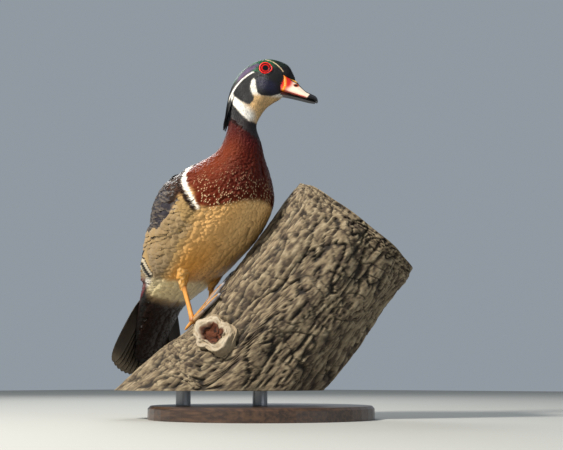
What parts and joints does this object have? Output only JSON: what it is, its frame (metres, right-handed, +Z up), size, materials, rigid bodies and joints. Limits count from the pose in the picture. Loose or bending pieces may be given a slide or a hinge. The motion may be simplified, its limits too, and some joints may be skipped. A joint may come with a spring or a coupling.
{
  "type": "wood duck drake on a perch",
  "caption": "Life-size still model of a wood duck drake standing on a cut length of limb, head turned, on a round base with short rods.",
  "frame": {"origin": "centre of the round base's underside", "axes": "+Z up, +X the way the bird's body faces, +Y to its left"},
  "size_m": [0.3312, 0.2908, 0.4312],
  "materials": {
    "head_plumage": "glossy feathers, green and purple black with white lines",
    "breast_plumage": "chestnut feathers with a soft gloss",
    "body_plumage": "buff and golden feathers",
    "flight_plumage": "dark brown and slate feathers with pale edges",
    "bill_horn": "cream, red and black horn",
    "eye_gloss": "wet red iris with a black pupil",
    "lid_skin": "bare red lid",
    "leg_skin": "scuted dull orange skin with grey webs",
    "bark": "rough ridged grey-brown bark",
    "base_wood": "dark satin lacquer",
    "rod_steel": "satin steel"
  },
  "bodies": {
    "root": {"bill_lower": "bill_horn", "bill_upper": "bill_horn", "crest": "head_plumage", "eye_left": "eye_gloss", "eye_right": "eye_gloss", "foot_left": "leg_skin", "foot_right": "leg_skin", "head": "head_plumage", "lid_left": "lid_skin", "lid_right": "lid_skin", "neck": "breast_plumage", "perch": "bark", "shank_left": "leg_skin", "shank_right": "leg_skin", "stand_base": "base_wood", "stand_rod_1": "rod_steel", "stand_rod_2": "rod_steel", "tail": "flight_plumage", "thigh_left": "body_plumage", "thigh_right": "body_plumage", "torso": "body_plumage", "wing_left": "flight_plumage", "wing_right": "flight_plumage"}
  },
  "joints": []
}
